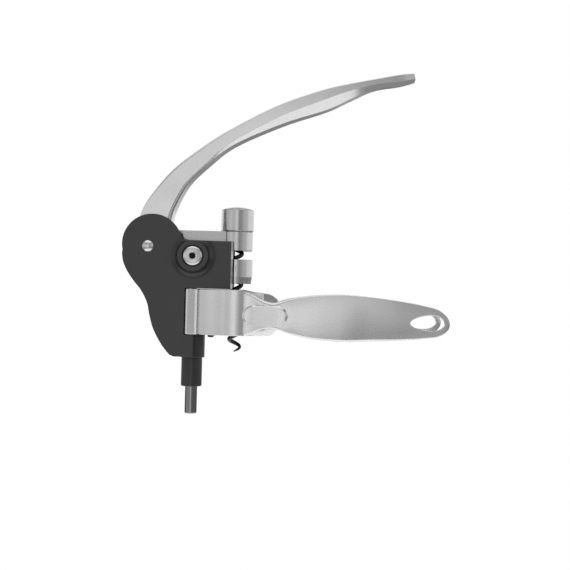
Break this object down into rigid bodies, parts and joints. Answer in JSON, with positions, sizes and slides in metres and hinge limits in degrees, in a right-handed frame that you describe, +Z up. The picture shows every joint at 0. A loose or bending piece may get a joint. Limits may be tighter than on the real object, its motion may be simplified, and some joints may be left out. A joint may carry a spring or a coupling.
{
  "type": "horizontal lever corkscrew",
  "caption": "Lever corkscrew: its handles grip a bottle neck and a swinging lever drives the worm down and up through a gear sector and a rack.",
  "frame": {"origin": "on the bottle axis, at half the height of the clamp jaws", "axes": "+Z up along the bottle axis and the worm, +X toward the tips of the handles, the near handle on -Y"},
  "size_m": [0.1933, 0.0436, 0.2059],
  "materials": {
    "charcoal_casting": "matte",
    "satin_casting": "satin",
    "turned_steel": "brushed",
    "bright_steel": "polished",
    "worm_coating": "satin",
    "bearing_bronze": "machined",
    "pad_rubber": "matte",
    "nut_nylon": "matte"
  },
  "bodies": {
    "frame_body": {"near_shell": "charcoal_casting", "far_shell": "charcoal_casting", "shell_screws": "turned_steel", "rod_sleeve": "charcoal_casting", "pivot_pin": "bright_steel", "roller_axle": "turned_steel", "roller_spacers": "bearing_bronze", "near_axle_cap": "bright_steel", "far_axle_cap": "bright_steel", "near_hinge_pin": "turned_steel", "far_hinge_pin": "turned_steel", "nut_block": "satin_casting", "nut_bush": "nut_nylon", "nut_pins": "turned_steel"},
    "roller_body": {"guide_roller": "turned_steel"},
    "lever_arm": {"lever": "satin_casting", "lever_bush": "bearing_bronze", "gear_sector": "turned_steel", "sector_rivets": "turned_steel"},
    "carriage": {"rack_slide": "turned_steel", "guide_rod": "bright_steel", "carriage_arm": "satin_casting", "arm_screws": "turned_steel", "worm_head": "satin_casting", "thrust_washer": "bearing_bronze", "knob_cap": "satin_casting"},
    "worm_spindle": {"worm": "worm_coating", "worm_collar": "turned_steel"},
    "near_grip": {"near_handle": "satin_casting", "near_jaw_pad": "pad_rubber"},
    "far_grip": {"far_handle": "satin_casting", "far_jaw_pad": "pad_rubber"}
  },
  "joints": [
    {"name": "lever_swing", "type": "hinge", "parent": "frame_body", "child": "lever_arm", "pos_m": [-0.0518, 0, 0.0379], "axis": [0, 1, 0], "range_deg": [-150, 17.7]},
    {"name": "carriage_lift", "type": "slide", "parent": "frame_body", "child": "carriage", "axis": [0, 0, 1], "range_m": [-0.0045, 0.038]},
    {"name": "worm_turn", "type": "hinge", "parent": "carriage", "child": "worm_spindle", "pos_m": [0, 0, 0.0448], "axis": [0, 0, 1], "range_deg": [-175, 1471]},
    {"name": "roller_turn", "type": "hinge", "parent": "frame_body", "child": "roller_body", "pos_m": [-0.025, 0, 0.0327], "axis": [0, 1, 0], "range_deg": [-40, 338]},
    {"name": "near_grip_swing", "type": "hinge", "parent": "frame_body", "child": "near_grip", "pos_m": [-0.0262, -0.0093, 0], "axis": [0, 0, -1], "range_deg": [-2, 20]},
    {"name": "far_grip_swing", "type": "hinge", "parent": "frame_body", "child": "far_grip", "pos_m": [-0.0262, 0.0093, 0], "axis": [0, 0, 1], "range_deg": [-2, 20]}
  ],
  "couplings": [
    {"joint": "carriage_lift", "follows": "lever_swing", "m_per_rad": -0.0145},
    {"joint": "worm_turn", "follows": "lever_swing", "ratio": -9.7964},
    {"joint": "roller_turn", "follows": "lever_swing", "ratio": -2.2481}
  ]
}
